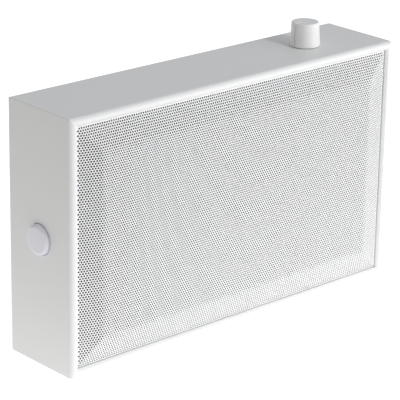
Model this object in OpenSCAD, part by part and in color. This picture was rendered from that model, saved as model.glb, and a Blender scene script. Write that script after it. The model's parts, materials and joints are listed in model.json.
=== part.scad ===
// Wall speaker: a shallow white board cabinet with a pressed perforated grille, a volume knob
// on its top and a push button on its left end. Behind the grille are a cone driver, a line
// transformer, the volume control, the button's switch and the wiring block.
//
// Frame: X runs along the width, Y runs from the grille to the wall and Z is up.
// The origin is the middle of the underside.

/* [Cabinet] */
// Overall width of the cabinet
cab_w = 310; // [290:1:340]
// Overall height of the cabinet
cab_h = 188; // [184:1:210]
// Overall depth of the cabinet
cab_d = 68; // [66:1:80]
// Thickness of the cabinet board
wall = 6.2; // [6.2:0.2:8]
// Radius of the four outer front edges
edge_r = 4.5; // [3:0.5:4.5]
// Radius of the four inner front edges
inner_r = 1.7; // [0.5:0.1:1.7]

/* [Grille] */
// Thickness of the perforated sheet
sheet_t = 0.8; // [0.6:0.1:1.2]
// Gap between the sheet and the cabinet board
grille_gap = 0.4; // [0.2:0.1:0.8]
// How far the rim of the sheet lies behind the front edges
grille_recess = 2.8; // [2:0.2:4]
// Width of the sloping border
bevel_w = 19.5; // [12:0.5:26]
// Rise of the middle above the rim
bevel_rise = 6; // [2:0.5:8]
// Width of the lip that lies on the baffle
lip_w = 6; // [4:0.5:8]
// Distance between holes along a row
hole_pitch = 10; // [8:0.5:14]
// Hole diameter
hole_d = 5.4; // [4:0.1:6]
// Thickness of the cloth behind the sheet
cloth_t = 0.6; // [0.4:0.1:1]

/* [Baffle and back] */
// Depth of the baffle's face behind the front edges
baffle_depth = 13; // [12:0.5:15]
// Thickness of the baffle board
baffle_t = 8; // [7:0.5:9]
// Thickness of the back panel
back_t = 5; // [4:0.5:6]
// How far the back panel lies inside the rear edges
back_inset = 3; // [2.5:0.5:4]
// Gap around the back panel
back_gap = 0.4; // [0.2:0.1:0.8]
// Side of the four corner blocks
block_w = 16; // [14:1:20]

/* [Driver] */
// Diameter of the driver's flange
driver_d = 133; // [130:1:136]
// Diameter of the hole in the baffle
cutout_d = 117; // [115:0.5:118]
// Circle of the driver's screws
driver_pcd = 125; // [124:0.5:126]
// Gap between the magnet system and the back panel
magnet_gap = 4.8; // [4:0.2:6]
// Outer diameter of the magnet
magnet_d = 72; // [66:1:76]
// Thickness of the magnet
magnet_t = 9; // [7:0.5:10]
// Diameter of the voice coil's former
coil_d = 25; // [23:0.5:26]
// Thickness of the paper cone
paper_t = 0.8; // [0.6:0.1:1.2]
// Width of the surround's half roll
roll_w = 8; // [7:0.5:9]

/* [Volume control] */
// Distance of the knob from the right end of the cabinet
knob_inset = 60; // [45:1:75]
// Diameter of the knob at its base
knob_d = 23; // [22:0.5:26]
// Diameter of the knob at its top
knob_top_d = 20.6; // [20:0.2:22]
// Height of the knob
knob_h = 18; // [17:0.5:20]
// Gap under the knob
knob_gap = 0.4; // [0.3:0.1:0.8]
// Diameter of the shaft
shaft_d = 6; // [5:0.1:6.3]
// Diameter of the threaded bush
bush_d = 9; // [8.5:0.1:9.5]
// Diameter of the control's body
control_d = 24; // [22:0.5:26]

/* [Push button] */
// Diameter of the button
button_d = 22.3; // [20:0.1:24]
// Gap around the button
button_gap = 0.35; // [0.3:0.05:0.5]
// How far the button stands out of the cabinet
button_out = 3.8; // [3:0.1:5]
// Radius of the button's edge
button_r = 2.6; // [1:0.1:2.8]
// Travel of the button
button_travel = 2; // [1:0.1:2.4]
// Diameter of the button's stem
stem_d = 5; // [4:0.1:6]

/* [Wall mounting] */
// Distance of each keyhole from its end of the cabinet
keyhole_inset = 55; // [50:1:65]
// Distance of the keyholes below the top of the cabinet
keyhole_drop = 38; // [36:0.5:42]
// Diameter of a keyhole's round end
keyhole_d = 9; // [8:0.1:10]
// Width of a keyhole's slot
keyhole_slot = 4.5; // [4:0.1:5]

/* [Hidden] */
$fn = 48;

// Small allowances
cut = 1;
run_gap = 0.05;
seat_gap = 0.15;
bore_over = 0.4;
in_w = cab_w - 2 * wall;
in_h = cab_h - 2 * wall;
mid_z = cab_h / 2;
front_y = -cab_d / 2;

// Screws: head diameter, head height, shank diameter and length
panel_screw = [7, 2.2, 3.2, 13];
driver_screw = [7, 2.2, 3.2, 10.6];
lip_screw = [5.2, 1.6, 2.4, baffle_t + sheet_t + 0.6];
frame_screw = [5.2, 1.6, 2.4, 6];
bracket_screw = [5.2, 1.6, 2.4, 4.6];
plate_screw = [4.6, 1.4, 2, 4];

// The baffle and the back panel
baffle_back = baffle_depth + baffle_t;
back_out = cab_d - back_inset;
back_in = back_out - back_t;
bay_depth = back_in - baffle_back;
block_x = in_w / 2 - block_w / 2;
block_z = in_h / 2 - block_w / 2;

// The pressed sheet
pan_w = in_w - 2 * grille_gap;
pan_h = in_h - 2 * grille_gap;
slope = bevel_rise / bevel_w;
slope_len = sqrt(1 + slope * slope);
pan_front = grille_recess - bevel_rise;
row_step = hole_pitch * sqrt(3) / 2;
hole_edge = 1;
hole_margin = hole_d / 2 + sheet_t + hole_edge;
half_rows = floor((pan_h / 2 - hole_margin) / row_step);
half_cols = ceil(pan_w / 2 / hole_pitch);
lip_screw_x = pan_w / 4;
lip_screw_z = pan_h / 2 - lip_w / 2;

// The driver, with its own depths counted back from the face of the baffle
flange_t = 1.2;
gasket_t = 2;
gasket_step = 1.5;
gasket_in_d = cutout_d + 2 * gasket_step;
basket_t = 1.2;
basket_gap = 0.75;
basket_d = cutout_d - 2 * basket_gap;
basket_rim = 3;
plate_t = 4;
plate_d = 60;
seat_d = 64;
seat_depth = back_in - baffle_depth - magnet_gap - basket_t - 2 * plate_t - magnet_t;
shelf_step = 5.5;
shelf_depth = seat_depth - shelf_step;
shelf_d = 74;
plate_depth = seat_depth + basket_t;
magnet_depth = plate_depth + plate_t;
back_plate_depth = magnet_depth + magnet_t;
former_t = 0.3;
winding_t = 0.4;
coil_gap = 0.4;
pole_d = coil_d - 2 * coil_gap;
vent_d = 8;
neck_d = coil_d + 2 * former_t;
coil_out_d = neck_d + 2 * winding_t;
plate_hole_d = coil_out_d + 2 * coil_gap;
magnet_step = 3;
magnet_hole_d = plate_hole_d + 2 * magnet_step;
neck_gap = 3.5;
neck_depth = shelf_depth - neck_gap;
former_rise = 3;
coil_front = neck_depth - former_rise;
winding_over = 2;
coil_end = plate_depth + plate_t + winding_over;
cone_d = 96;
cone_flare = 1.6;
roll_out_d = cone_d + 2 * roll_w;
roll_t = 0.6;
glue_w = 2;
cap_d = 34;
cap_rise = 6;
spider_waves = 4;
spider_wave = 0.7;
spider_t = 0.5;
spider_gap = 0.5;
window_rim = 3;
window_in = shelf_d / 2 + window_rim;
window_out = basket_d / 2 - basket_t - window_rim;
window_angle = 56;

// The transformer, whose core is built from one leg width that fills the bay's depth
strap_t = 1;
transformer_gap = 5.45;
leg = (bay_depth - transformer_gap - strap_t - run_gap) / 5;
core_w = 6 * leg;
core_l = 5 * leg;
core_stack = 2 * leg;
winding_bulge = 6;
winding_r = 3;
transformer_inset = 55;
transformer_x = cab_w / 2 - transformer_inset;
transformer_z = 48;
strap_w = core_stack + 2;
foot_l = 9;
foot_x = core_w / 2 + strap_t + foot_l / 2;

// The volume control, with its own heights counted up from the top of the cabinet
knob_x = cab_w / 2 - knob_inset;
body_h = 14;
body_wall = 2;
cavity_h = 6;
cavity_low = -wall - body_h + body_wall;
rotor_t = 2;
rotor_gap = 1;
rotor_d = control_d - 2 * body_wall - 2 * rotor_gap;
rotor_low = cavity_low + (cavity_h - rotor_t) / 2;
washer_t = 0.6;
nut_t = 2.2;
nut_wall = 1.75;
nut_w = bush_d + 2 * nut_wall;
washer_rim = 0.5;
bush_over = 0.4;
bush_top = washer_t + nut_t + bush_over;
bush_hole = bush_d + 0.4;
knob_top_t = 2.4;
knob_wall = 1.6;
knob_bevel = 0.5;
shaft_top = knob_gap + knob_h - knob_top_t;
boss_wall = 1.5;
boss_d = shaft_d + 2 * boss_wall;
boss_gap = 1;
boss_low = bush_top + boss_gap;
pointer_angle = 183;
pointer_w = 1.2;
pointer_cut = 0.5;
pointer_low = 1;
dimple_d = 3.2;
dimple_at = 5.6;

// The push button, with its own depths counted in from the left end of the cabinet
button_hole = button_d + 2 * button_gap;
collar_t = 1.6;
collar_step = 1.5;
collar_d = button_d + 2 * collar_step;
button_skirt = wall + collar_t;
button_wall = 1.6;
bracket_t = 1.2;
skirt_clear = 3.4;
plate_in = button_skirt + button_travel + skirt_clear;
web_clear = 2;
web_gap = collar_d + 2 * web_clear;
bracket_w = 16;
foot_w = 9;
bracket_screw_x = web_gap / 2 + bracket_t + foot_w / 2;
stem_reach = 6;
stem_end = plate_in + bracket_t + stem_reach;
stem_clear = 0.4;
switch_w = 16;
switch_l = 15;
switch_wall = 4;
spring_wire = 1;
spring_clear = 2;
spring_r = stem_d / 2 + spring_clear;
spring_turns = 5;
spring_sides = 8;
spring_steps = 14;

// The volume control and the button share one line along the cabinet, clear of the baffle
control_clear = 0.6;
control_y = front_y + baffle_back + max(control_d, collar_d) / 2 + control_clear;

// The wall fixings, the cable entry and the wiring block
plate_w = 24;
plate_h = 36;
plate_sheet = 1.2;
hang_rise = 9;
keyhole_x = cab_w / 2 - keyhole_inset;
keyhole_z = cab_h - keyhole_drop;
keyhole_clear = 1;
keyhole_room = keyhole_d + 2 * keyhole_clear;
plate_z = keyhole_z + hang_rise / 2;
plate_screw_edge = 4;
plate_screw_z = plate_h / 2 - plate_screw_edge;
entry_inset = 55;
entry_x = entry_inset - cab_w / 2;
entry_z = 45;
entry_d = 14;
entry_lip = 2;
entry_lip_t = 1.6;
entry_edge = 0.6;
cable_d = 7;
terminal_gap = 32;
terminal_x = entry_x + terminal_gap;
terminal_l = 24;
terminal_h = 16;
terminal_deep = 14;
terminal_front = back_in - terminal_deep;
clamp_d = 4.4;
clamp_depth = 9.8;
clamp_screw_t = 4.2;
clamp_screw_in = 1.5;
clamp_slot = 0.8;
wire_d = 3;
wire_depth = 7.7;

// Puts children at a depth behind the front edges, with their own Z running to the wall
module from_front(depth, x = 0, z = mid_z) {
    translate([x, front_y + depth, z]) rotate([-90, 0, 0]) children();
}

// Puts children at a depth behind the front edges, with their own Z running to the front
module from_back(depth, x = 0, z = mid_z) {
    translate([x, front_y + depth, z]) rotate([90, 0, 0]) children();
}

// Puts children on the top of the cabinet, on the axis of the volume control
module on_top() {
    translate([knob_x, control_y, cab_h]) children();
}

// Puts children on the left end of the cabinet, with their own Z running into it
module from_left() {
    translate([-cab_w / 2, control_y, mid_z]) rotate([0, 90, 0]) children();
}

// Board of a width and a height, centred on the front, from one depth to another
module board(w, h, near, far) {
    translate([-w / 2, front_y + near, mid_z - h / 2]) cube([w, far - near, h]);
}

// Repeats children at the four corners of a rectangle seen from the front
module four_corners(dx, dz) {
    for (sx = [-1, 1], sz = [-1, 1])
        translate([sx * dx, 0, sz * dz]) children();
}

// Pan head screw along Z: its head stands above zero, its shank runs below
module pan_screw(size) {
    head_r = size[0] / 2;
    head_h = size[1];
    shank_r = size[2] / 2;
    length = size[3];
    slot = head_r / 2.5;
    difference() {
        rotate_extrude($fn = 32) polygon([
            [0, head_h],
            [head_r * 0.55, head_h * 0.92],
            [head_r * 0.9, head_h * 0.5],
            [head_r, 0],
            [shank_r, 0],
            [shank_r, size[2] - length],
            [0, -length]
        ]);
        for (turn = [0, 90])
            rotate(turn) translate([-head_r * 0.55, -slot / 2, head_h * 0.4])
                cube([head_r * 1.1, slot, head_h]);
    }
}

// Clear hole for the shank of a screw, running down from zero
module shank_hole(size, depth) {
    translate([0, 0, -depth]) cylinder(d = size[2] + 2 * run_gap, h = depth + cut);
}

// Section of the bevelled front at an inward offset: depth against distance from the middle
function bevel_section(half, inward, back) =
    let (
        rim = half - inward,
        flat = half - bevel_w - inward * (slope_len - 1) / slope,
        rim_depth = grille_recess + inward * (slope_len - slope)
    )
    [
        [-rim, back], [-rim, rim_depth], [-flat, pan_front + inward],
        [flat, pan_front + inward], [rim, rim_depth], [rim, back]
    ];

// Solid block with a bevelled front: two bevelled sections crossed, so that its slopes meet in
// mitred folds at the four corners
module bevelled_block(inward, back) {
    intersection() {
        translate([0, front_y, mid_z - pan_h]) linear_extrude(height = 2 * pan_h)
            polygon(bevel_section(pan_w / 2, inward, back));
        translate([-pan_w, front_y, mid_z]) rotate([90, 0, 90]) linear_extrude(height = 2 * pan_w)
            polygon([for (p = bevel_section(pan_h / 2, inward, back)) [p[1], p[0]]]);
    }
}

// Outline of a board with its two front corners rounded
module rounded_front(w) {
    difference() {
        square([w, cab_d], center = true);
        for (side = [-1, 1])
            translate([side * (w / 2 - edge_r), edge_r - cab_d / 2]) difference() {
                translate([side > 0 ? 0 : -edge_r - cut, -edge_r - cut])
                    square(edge_r + cut);
                circle(edge_r, $fn = 64);
            }
    }
}

// Outline of the opening through a board, flared where its two inner front corners are rounded
module flared_opening(w) {
    square([w, cab_d + 2 * cut], center = true);
    translate([0, inner_r - cab_d / 2]) difference() {
        translate([-w / 2 - inner_r, -inner_r - cut]) square([w + 2 * inner_r, inner_r + cut]);
        for (side = [-1, 1])
            translate([side * (w / 2 + inner_r), 0]) circle(inner_r, $fn = 64);
    }
}

// Two outlines crossed: the first runs up the cabinet, the second along it
module crossed() {
    intersection() {
        linear_extrude(height = cab_h) children(0);
        translate([-cab_w / 2, 0, mid_z]) rotate([0, 90, 0]) linear_extrude(height = cab_w)
            children(1);
    }
}

module cabinet() {
    color("whitesmoke") difference() {
        crossed() {
            rounded_front(cab_w);
            rounded_front(cab_h);
        }
        crossed() {
            flared_opening(in_w);
            flared_opening(in_h);
        }
        on_top() translate([0, 0, -wall - cut]) cylinder(d = bush_hole, h = wall + 2 * cut);
        from_left() translate([0, 0, -cut]) cylinder(d = button_hole, h = wall + 2 * cut);
        for (side = [-1, 1])
            from_left() translate([side * bracket_screw_x, 0, wall])
                shank_hole(bracket_screw, bracket_screw[3] - bracket_t + bore_over);
    }
}

module corner_blocks() {
    color("burlywood") four_corners(block_x, block_z) difference() {
        board(block_w, block_w, baffle_back, back_in);
        from_front(back_in) shank_hole(panel_screw, panel_screw[3] - back_t + bore_over);
    }
}

module baffle() {
    color("peru") difference() {
        board(in_w, in_h, baffle_depth, baffle_back);
        from_front(baffle_depth - cut) cylinder(d = cutout_d, h = baffle_t + 2 * cut, $fn = 96);
        for (turn = [45:90:315])
            from_back(baffle_depth) rotate(turn) translate([driver_pcd / 2, 0])
                shank_hole(driver_screw, baffle_t - bore_over);
        four_corners(lip_screw_x, lip_screw_z) from_front(baffle_back)
            shank_hole(lip_screw, baffle_t + cut);
        for (side = [-1, 1])
            from_front(baffle_back, transformer_x + side * foot_x, transformer_z)
                shank_hole(frame_screw, frame_screw[3] - strap_t + bore_over);
    }
}

// Round holes in staggered rows, kept clear of the rim's fold
module hole_field() {
    for (row = [-half_rows:half_rows], col = [-half_cols:half_cols])
        let (x = (col + (row % 2 == 0 ? 0 : 0.5)) * hole_pitch)
            if (abs(x) < pan_w / 2 - hole_margin)
                translate([x, row * row_step]) circle(d = hole_d, $fn = 16);
}

module grille() {
    color("white") difference() {
        bevelled_block(0, baffle_depth);
        bevelled_block(sheet_t, baffle_depth - sheet_t);
        board(pan_w - 2 * lip_w, pan_h - 2 * lip_w, grille_recess + sheet_t, baffle_depth + cut);
        from_front(pan_front - cut)
            linear_extrude(height = bevel_rise + 2 * sheet_t + 2 * cut) hole_field();
        four_corners(lip_screw_x, lip_screw_z) from_front(baffle_depth)
            shank_hole(lip_screw, sheet_t + cut);
    }
}

module grille_screws() {
    color("silver") four_corners(lip_screw_x, lip_screw_z) from_front(baffle_back)
        pan_screw(lip_screw);
}

module acoustic_cloth() {
    color("dimgray") difference() {
        bevelled_block(sheet_t, baffle_depth - sheet_t);
        bevelled_block(sheet_t + cloth_t, baffle_depth);
    }
}

module back_panel() {
    color("burlywood") difference() {
        board(in_w - 2 * back_gap, in_h - 2 * back_gap, back_in, back_out);
        four_corners(block_x, block_z) from_front(back_out) shank_hole(panel_screw, back_t + cut);
        for (side = [-1, 1])
            translate([side * keyhole_x, front_y + back_in, 0]) {
                translate([-plate_w / 2, back_t - plate_sheet, plate_z - plate_h / 2])
                    cube([plate_w, plate_sheet + cut, plate_h]);
                translate([-keyhole_room / 2, -cut, keyhole_z - keyhole_room / 2])
                    cube([keyhole_room, back_t + 2 * cut, keyhole_room + hang_rise]);
            }
        from_front(back_in - cut, entry_x, entry_z) cylinder(d = entry_d, h = back_t + 2 * cut);
        for (side = [-1, 1], end = [-1, 1])
            from_front(back_out, side * keyhole_x, plate_z + end * plate_screw_z)
                shank_hole(plate_screw, plate_screw[3] + bore_over);
    }
}

module back_panel_screws() {
    color("silver") four_corners(block_x, block_z) from_front(back_out) pan_screw(panel_screw);
}

// Round end with a slot above it, centred on the middle of its rise
module keyhole() {
    translate([0, hang_rise / 2]) circle(d = keyhole_d);
    translate([-keyhole_slot / 2, -hang_rise / 2]) square([keyhole_slot, hang_rise]);
    translate([0, -hang_rise / 2]) circle(d = keyhole_slot);
}

module keyhole_plates() {
    color("silver") for (side = [-1, 1])
        from_front(back_out - plate_sheet, side * keyhole_x, plate_z) difference() {
            translate([seat_gap - plate_w / 2, seat_gap - plate_h / 2, 0])
                cube([plate_w - 2 * seat_gap, plate_h - 2 * seat_gap, plate_sheet]);
            translate([0, 0, -cut]) linear_extrude(height = plate_sheet + 2 * cut) keyhole();
            for (end = [-1, 1])
                translate([0, end * plate_screw_z, plate_sheet])
                    shank_hole(plate_screw, plate_sheet + cut);
        }
}

module keyhole_screws() {
    color("silver") for (side = [-1, 1], end = [-1, 1])
        from_front(back_out, side * keyhole_x, plate_z + end * plate_screw_z)
            pan_screw(plate_screw);
}

module cable_grommet() {
    lip_r = entry_d / 2 + entry_lip;
    color("dimgray") from_front(back_in, entry_x, entry_z) rotate_extrude() polygon([
        [cable_d / 2, -entry_lip_t],
        [lip_r - entry_edge, -entry_lip_t],
        [lip_r, -entry_lip_t + entry_edge],
        [lip_r, 0],
        [entry_d / 2, 0],
        [entry_d / 2, back_t],
        [lip_r, back_t],
        [lip_r, back_t + entry_lip_t - entry_edge],
        [lip_r - entry_edge, back_t + entry_lip_t],
        [cable_d / 2, back_t + entry_lip_t]
    ]);
}

// Puts children at the four clamps of the block, on its front face
module clamps() {
    from_front(terminal_front, terminal_x, entry_z)
        for (sx = [-1, 1], sz = [-1, 1])
            translate([sx * terminal_l / 4, sz * terminal_h / 4]) children();
}

module terminal_block() {
    color("ivory") difference() {
        from_front(terminal_front, terminal_x, entry_z)
            translate([-terminal_l / 2, -terminal_h / 2, 0])
                cube([terminal_l, terminal_h, terminal_deep]);
        clamps() translate([0, 0, -cut]) cylinder(d = clamp_d, h = clamp_depth + cut);
        for (sx = [-1, 1])
            from_front(terminal_front, terminal_x + sx * terminal_l / 4, entry_z)
                translate([0, terminal_h / 2 + cut, wire_depth]) rotate([90, 0, 0])
                    cylinder(d = wire_d, h = terminal_h + 2 * cut);
    }
}

module terminal_screws() {
    color("silver") clamps() translate([0, 0, clamp_screw_in]) difference() {
        cylinder(d = clamp_d - 2 * run_gap, h = clamp_screw_t);
        translate([-clamp_d, -clamp_slot / 2, -cut]) cube([2 * clamp_d, clamp_slot, cut + 1]);
    }
}

// Pressed steel basket: flange, deep wall with four windows, spider shelf and magnet seat
module driver_basket() {
    wall_r = basket_d / 2;
    color("dimgray") from_front(baffle_depth) difference() {
        rotate_extrude($fn = 96) polygon([
            [driver_d / 2, -flange_t],
            [driver_d / 2, 0],
            [wall_r, 0],
            [wall_r, basket_rim],
            [shelf_d / 2 + basket_t, shelf_depth],
            [shelf_d / 2 + basket_t, shelf_depth + basket_t],
            [seat_d / 2 + basket_t, shelf_depth + basket_t],
            [seat_d / 2 + basket_t, seat_depth + basket_t],
            [plate_hole_d / 2 + 2, seat_depth + basket_t],
            [plate_hole_d / 2 + 2, seat_depth],
            [seat_d / 2, seat_depth],
            [seat_d / 2, shelf_depth],
            [shelf_d / 2, shelf_depth],
            [wall_r - basket_t, basket_rim],
            [wall_r - basket_t, -flange_t]
        ]);
        for (turn = [45:90:315])
            rotate(turn) translate([driver_pcd / 2, 0, -flange_t - cut])
                cylinder(d = driver_screw[2] + 2 * run_gap, h = flange_t + 2 * cut);
        for (turn = [0:90:270])
            rotate(turn) window();
    }
}

// Prism with the plan of one basket window, a sector of a ring
module window() {
    reach = 2 * window_out;
    side = reach * tan(window_angle / 2);
    translate([0, 0, 1]) linear_extrude(height = shelf_depth) intersection() {
        difference() {
            circle(window_out, $fn = 96);
            circle(window_in, $fn = 96);
        }
        polygon([[0, 0], [reach, -side], [reach, side]]);
    }
}

module driver_gasket() {
    color("black") from_back(baffle_depth - flange_t) difference() {
        cylinder(d = driver_d, h = gasket_t, $fn = 96);
        translate([0, 0, -cut]) cylinder(d = gasket_in_d, h = gasket_t + 2 * cut, $fn = 96);
        for (turn = [45:90:315])
            rotate(turn) translate([driver_pcd / 2, 0, gasket_t])
                shank_hole(driver_screw, gasket_t + cut);
    }
}

module driver_screws() {
    color("silver") from_back(baffle_depth - flange_t - gasket_t) for (turn = [45:90:315])
        rotate(turn) translate([driver_pcd / 2, 0]) pan_screw(driver_screw);
}

// Half roll of cloth between the cone and the flange, with a flat lip glued to the flange
module surround() {
    roll_r = roll_w / 2;
    rim_w = gasket_in_d / 2 - roll_out_d / 2 + roll_t;
    color("dimgray") from_back(baffle_depth - flange_t) rotate_extrude($fn = 96) {
        translate([cone_d / 2 + roll_r, 0]) intersection() {
            difference() {
                circle(roll_r);
                circle(roll_r - roll_t);
            }
            translate([-roll_r, 0]) square([2 * roll_r, roll_r]);
        }
        translate([roll_out_d / 2 - roll_t, 0]) square([rim_w, roll_t]);
        translate([cone_d / 2 - glue_w, 0]) square([glue_w + roll_t, roll_t]);
    }
}

// Depth of the cone's front surface at a radius: steep at the neck and flatter at the rim
function cone_depth(r) =
    let (share = (cone_d / 2 - r) / (cone_d / 2 - neck_d / 2))
    neck_depth * pow(share, cone_flare) - flange_t;

module cone() {
    steps = 8;
    radii = [for (i = [0:steps]) neck_d / 2 + i * (cone_d - neck_d) / 2 / steps];
    color("saddlebrown") from_front(baffle_depth) rotate_extrude($fn = 96) polygon(concat(
        [for (r = radii) [r, cone_depth(r)]],
        [for (i = [steps:-1:0]) [radii[i], cone_depth(radii[i]) + paper_t]]
    ));
}

// Domed cap whose rim rests on the cone
module dust_cap() {
    rim = cap_d / 2;
    ball = (rim * rim + cap_rise * cap_rise) / (2 * cap_rise);
    color("black") from_back(baffle_depth + cone_depth(rim)) difference() {
        translate([0, 0, cap_rise - ball]) sphere(ball, $fn = 64);
        translate([0, 0, cap_rise - ball]) sphere(ball - paper_t, $fn = 64);
        translate([0, 0, -ball]) cube([3 * ball, 3 * ball, 2 * ball], center = true);
    }
}

// Corrugated disc that centres the coil, with a flat rim glued to the shelf of the basket
module spider() {
    steps = 32;
    inner = neck_d / 2;
    outer = shelf_d / 2 - spider_gap;
    waved = seat_d / 2 - 2 * spider_gap - inner;
    radii = [for (i = [0:steps]) inner + i * (outer - inner) / steps];
    function turn(r) = 360 * spider_waves * (r - inner) / waved;
    function lift(r) = r - inner > waved ? 0 : spider_wave * sin(turn(r));
    color("goldenrod") from_front(baffle_depth + shelf_depth)
        rotate_extrude($fn = 64) polygon(concat(
            [for (r = radii) [r, lift(r) - spider_t]],
            [for (i = [steps:-1:0]) [radii[i], lift(radii[i])]]
        ));
}

// Former with its winding in the magnet gap
module voice_coil() {
    inner = coil_d / 2;
    color("orange") from_front(baffle_depth) rotate_extrude($fn = 64) polygon([
        [inner, coil_front],
        [inner, coil_end],
        [inner + former_t + winding_t, coil_end],
        [inner + former_t + winding_t, plate_depth - winding_over],
        [inner + former_t, plate_depth - winding_over],
        [inner + former_t, coil_front]
    ]);
}

module top_plate() {
    color("silver") from_front(baffle_depth + plate_depth) difference() {
        cylinder(d = plate_d, h = plate_t, $fn = 96);
        translate([0, 0, -cut]) cylinder(d = plate_hole_d, h = plate_t + 2 * cut);
    }
}

module ring_magnet() {
    color("black") from_front(baffle_depth + magnet_depth) difference() {
        cylinder(d = magnet_d, h = magnet_t, $fn = 96);
        translate([0, 0, -cut]) cylinder(d = magnet_hole_d, h = magnet_t + 2 * cut);
    }
}

// Back plate with its centre pole and vent
module pole_piece() {
    color("silver") from_front(baffle_depth) difference() {
        union() {
            translate([0, 0, plate_depth]) cylinder(d = pole_d, h = back_plate_depth - plate_depth + cut);
            translate([0, 0, back_plate_depth]) cylinder(d = plate_d, h = plate_t, $fn = 96);
        }
        translate([0, 0, plate_depth - cut])
            cylinder(d = vent_d, h = back_plate_depth + plate_t - plate_depth + 2 * cut);
    }
}

// Stack of core plates standing on the baffle: a frame with a middle leg
module transformer_core() {
    color("dimgray") from_front(baffle_back, transformer_x, transformer_z) difference() {
        translate([-core_w / 2, -core_stack / 2, 0]) cube([core_w, core_stack, core_l]);
        for (side = [-1, 1])
            translate([side * 1.5 * leg - leg / 2, -core_stack / 2 - cut, leg])
                cube([leg, core_stack + 2 * cut, 3 * leg]);
    }
}

// Taped winding around the middle leg
module transformer_winding() {
    w = 4 * leg - 2 * seat_gap;
    h = 3 * leg - 2 * seat_gap;
    deep = core_stack + 2 * winding_bulge;
    leg_w = 2 * leg + 2 * run_gap;
    leg_deep = core_stack + 2 * run_gap;
    color("gold") from_front(baffle_back + leg + seat_gap, transformer_x, transformer_z)
        linear_extrude(height = h) difference() {
            square([w, deep], center = true);
            square([leg_w, leg_deep], center = true);
            for (sx = [-1, 1], sy = [-1, 1])
                translate([sx * (w / 2 - winding_r), sy * (deep / 2 - winding_r)]) difference() {
                    translate([min(sx, 0), min(sy, 0)] * (winding_r + cut)) square(winding_r + cut);
                    circle(winding_r);
                }
        }
}

// Bent strap over the core, with a foot on each side
module transformer_frame() {
    half = core_w / 2 + run_gap;
    top = core_l + run_gap;
    toe = foot_x + foot_l / 2;
    color("silver") from_front(baffle_back, transformer_x, transformer_z) difference() {
        translate([0, strap_w / 2, 0]) rotate([90, 0, 0]) linear_extrude(height = strap_w)
            polygon([
                [-toe, 0], [-half, 0], [-half, top], [half, top], [half, 0], [toe, 0],
                [toe, strap_t], [half + strap_t, strap_t], [half + strap_t, top + strap_t],
                [-half - strap_t, top + strap_t], [-half - strap_t, strap_t], [-toe, strap_t]
            ]);
        for (side = [-1, 1])
            translate([side * foot_x, 0, strap_t]) shank_hole(frame_screw, strap_t + cut);
    }
}

module transformer_screws() {
    color("silver") for (side = [-1, 1])
        from_front(baffle_back + strap_t, transformer_x + side * foot_x, transformer_z)
            pan_screw(frame_screw);
}

// Body under the top board and a bush that passes through it
module volume_control() {
    bore_r = shaft_d / 2 + run_gap;
    body_r = control_d / 2;
    color("silver") on_top() rotate_extrude($fn = 64) polygon([
        [bore_r, bush_top],
        [bush_d / 2, bush_top],
        [bush_d / 2, -wall],
        [body_r, -wall],
        [body_r, -wall - body_h],
        [0, -wall - body_h],
        [0, cavity_low],
        [body_r - body_wall, cavity_low],
        [body_r - body_wall, cavity_low + cavity_h],
        [bore_r, cavity_low + cavity_h]
    ]);
}

module control_shaft() {
    color("gainsboro") on_top() rotate_extrude() polygon([
        [0, shaft_top],
        [shaft_d / 2, shaft_top],
        [shaft_d / 2, rotor_low + rotor_t],
        [rotor_d / 2, rotor_low + rotor_t],
        [rotor_d / 2, rotor_low],
        [0, rotor_low]
    ]);
}

module control_washer() {
    color("silver") on_top() difference() {
        cylinder(d = nut_w + 2 * washer_rim, h = washer_t);
        translate([0, 0, -cut]) cylinder(d = bush_d + 2 * run_gap, h = washer_t + 2 * cut);
    }
}

module control_nut() {
    color("silver") on_top() translate([0, 0, washer_t]) difference() {
        cylinder(d = nut_w / cos(30), h = nut_t, $fn = 6);
        translate([0, 0, -cut]) cylinder(d = bush_d + 2 * run_gap, h = nut_t + 2 * cut);
    }
}

// Hollow tapered knob with a boss for the shaft, a pointer groove along its slope and a dimple
module volume_knob() {
    base_r = knob_d / 2;
    top_r = knob_top_d / 2;
    taper = atan((base_r - top_r) / knob_h);
    ceiling = knob_h - knob_top_t;
    color("white") on_top() difference() {
        translate([0, 0, knob_gap]) rotate_extrude($fn = 96) polygon([
            [base_r - knob_wall, 0],
            [base_r, 0],
            [top_r, knob_h - knob_bevel],
            [top_r - knob_bevel, knob_h],
            [0, knob_h],
            [0, boss_low - knob_gap],
            [boss_d / 2, boss_low - knob_gap],
            [boss_d / 2, ceiling],
            [top_r - knob_wall, ceiling]
        ]);
        translate([0, 0, boss_low - cut])
            cylinder(d = shaft_d + 2 * run_gap, h = shaft_top - boss_low + cut);
        rotate(pointer_angle) translate([0, 0, knob_gap]) {
            translate([base_r - pointer_cut, -pointer_w / 2, 0]) rotate([0, -taper, 0])
                translate([0, 0, pointer_low]) cube([base_r, pointer_w, knob_h]);
            translate([dimple_at, 0, knob_h - pointer_cut])
                cylinder(d = dimple_d, h = pointer_cut + cut, $fn = 24);
        }
    }
}

// Moulded cap with a rounded edge, a collar behind the board and a stem for the switch
module button_cap() {
    face_r = button_d / 2;
    color("lavender") from_left() rotate_extrude($fn = 96) {
        difference() {
            union() {
                translate([0, -button_out]) square([face_r, button_out + button_skirt]);
                translate([0, wall]) square([collar_d / 2, collar_t]);
            }
            translate([0, button_wall - button_out])
                square([face_r - button_wall, button_out + button_skirt]);
            translate([face_r - button_r, button_r - button_out]) difference() {
                translate([0, -button_r - cut]) square([button_r + cut, button_r + cut]);
                circle(button_r, $fn = 64);
            }
        }
        translate([0, -button_out + button_wall / 2])
            square([stem_d / 2, stem_end + button_out - button_wall / 2]);
    }
}

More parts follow.
